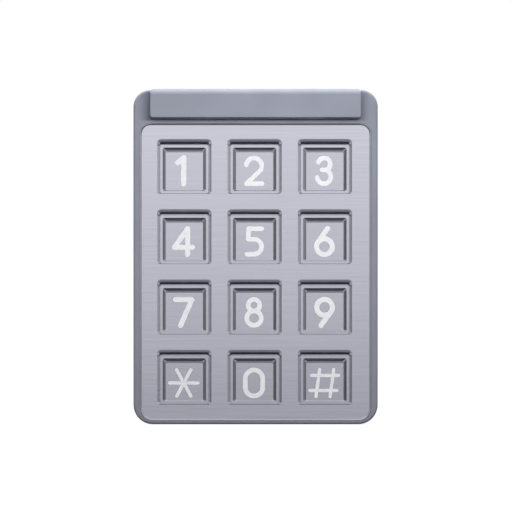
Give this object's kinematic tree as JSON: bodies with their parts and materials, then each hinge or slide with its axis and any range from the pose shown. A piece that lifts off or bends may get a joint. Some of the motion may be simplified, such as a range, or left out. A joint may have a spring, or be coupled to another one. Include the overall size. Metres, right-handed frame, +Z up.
{
  "type": "access keypad",
  "caption": "Wall-mounted access keypad for an electronic lock: painted housing with a lamp hood over a satin metal plate of square push keys with white legends.",
  "frame": {"origin": "centre line of the keypad on the wall plane, level with the middle of the housing", "axes": "+Z up, +X to the right of someone facing the keys, +Y into the wall; the keys face -Y"},
  "size_m": [0.1, 0.0513, 0.1369],
  "materials": {
    "paint_grey": "satin powder coat, blue-grey",
    "plate_metal": "satin, finely brushed across",
    "key_metal": "satin",
    "legend_white": "white resin, slightly proud",
    "rubber_black": "matte",
    "mat_grey": "matte silicone",
    "lens_clear": "frosted clear",
    "board_green": "solder mask",
    "contact_gold": "gold flash",
    "lamp_white": "lamp lens",
    "screw_steel": "zinc plated",
    "plastic_black": "moulded",
    "plastic_white": "moulded",
    "relay_blue": "moulded",
    "terminal_green": "moulded",
    "wall_steel": "zinc plated sheet",
    "magnet_metal": "nickel plated"
  },
  "bodies": {
    "case": {"housing": "paint_grey", "hood": "paint_grey", "front_plate": "plate_metal", "plate_gasket": "rubber_black", "cable_grommet": "rubber_black", "wall_gasket": "rubber_black", "key_mat": "mat_grey", "hood_lens": "lens_clear", "keypad_board": "board_green", "hood_lamp_board": "board_green", "contact_pads": "contact_gold", "hood_leds": "lamp_white", "hood_screws": "screw_steel", "plate_screws": "screw_steel", "board_screws": "screw_steel", "terminal_screws": "screw_steel", "security_screws": "screw_steel", "key_guide_frame": "plastic_black", "controller_chip": "plastic_black", "buzzer": "plastic_black", "capacitors": "plastic_black", "tamper_sensor": "plastic_black", "hood_connector": "plastic_white", "relay": "relay_blue", "terminal_block": "terminal_green", "wall_plate": "wall_steel", "tamper_magnet": "magnet_metal"},
    "key_1": {"key_1": "key_metal", "legend_1": "legend_white"},
    "key_2": {"key_2": "key_metal", "legend_2": "legend_white"},
    "key_3": {"key_3": "key_metal", "legend_3": "legend_white"},
    "key_4": {"key_4": "key_metal", "legend_4": "legend_white"},
    "key_5": {"key_5": "key_metal", "legend_5": "legend_white"},
    "key_6": {"key_6": "key_metal", "legend_6": "legend_white"},
    "key_7": {"key_7": "key_metal", "legend_7": "legend_white"},
    "key_8": {"key_8": "key_metal", "legend_8": "legend_white"},
    "key_9": {"key_9": "key_metal", "legend_9": "legend_white"},
    "key_star": {"key_star": "key_metal", "legend_star": "legend_white"},
    "key_0": {"key_0": "key_metal", "legend_0": "legend_white"},
    "key_hash": {"key_hash": "key_metal", "legend_hash": "legend_white"}
  },
  "joints": [
    {"name": "key_1_press", "type": "slide", "parent": "case", "child": "key_1", "axis": [0, 1, 0], "range_m": [0, 0.0013], "stiffness_N_per_m": 900, "springref_m": -0.0008, "deforming": ["key_mat"]},
    {"name": "key_2_press", "type": "slide", "parent": "case", "child": "key_2", "axis": [0, 1, 0], "range_m": [0, 0.0013], "stiffness_N_per_m": 900, "springref_m": -0.0008, "deforming": ["key_mat"]},
    {"name": "key_3_press", "type": "slide", "parent": "case", "child": "key_3", "axis": [0, 1, 0], "range_m": [0, 0.0013], "stiffness_N_per_m": 900, "springref_m": -0.0008, "deforming": ["key_mat"]},
    {"name": "key_4_press", "type": "slide", "parent": "case", "child": "key_4", "axis": [0, 1, 0], "range_m": [0, 0.0013], "stiffness_N_per_m": 900, "springref_m": -0.0008, "deforming": ["key_mat"]},
    {"name": "key_5_press", "type": "slide", "parent": "case", "child": "key_5", "axis": [0, 1, 0], "range_m": [0, 0.0013], "stiffness_N_per_m": 900, "springref_m": -0.0008, "deforming": ["key_mat"]},
    {"name": "key_6_press", "type": "slide", "parent": "case", "child": "key_6", "axis": [0, 1, 0], "range_m": [0, 0.0013], "stiffness_N_per_m": 900, "springref_m": -0.0008, "deforming": ["key_mat"]},
    {"name": "key_7_press", "type": "slide", "parent": "case", "child": "key_7", "axis": [0, 1, 0], "range_m": [0, 0.0013], "stiffness_N_per_m": 900, "springref_m": -0.0008, "deforming": ["key_mat"]},
    {"name": "key_8_press", "type": "slide", "parent": "case", "child": "key_8", "axis": [0, 1, 0], "range_m": [0, 0.0013], "stiffness_N_per_m": 900, "springref_m": -0.0008, "deforming": ["key_mat"]},
    {"name": "key_9_press", "type": "slide", "parent": "case", "child": "key_9", "axis": [0, 1, 0], "range_m": [0, 0.0013], "stiffness_N_per_m": 900, "springref_m": -0.0008, "deforming": ["key_mat"]},
    {"name": "key_star_press", "type": "slide", "parent": "case", "child": "key_star", "axis": [0, 1, 0], "range_m": [0, 0.0013], "stiffness_N_per_m": 900, "springref_m": -0.0008, "deforming": ["key_mat"]},
    {"name": "key_0_press", "type": "slide", "parent": "case", "child": "key_0", "axis": [0, 1, 0], "range_m": [0, 0.0013], "stiffness_N_per_m": 900, "springref_m": -0.0008, "deforming": ["key_mat"]},
    {"name": "key_hash_press", "type": "slide", "parent": "case", "child": "key_hash", "axis": [0, 1, 0], "range_m": [0, 0.0013], "stiffness_N_per_m": 900, "springref_m": -0.0008, "deforming": ["key_mat"]}
  ]
}
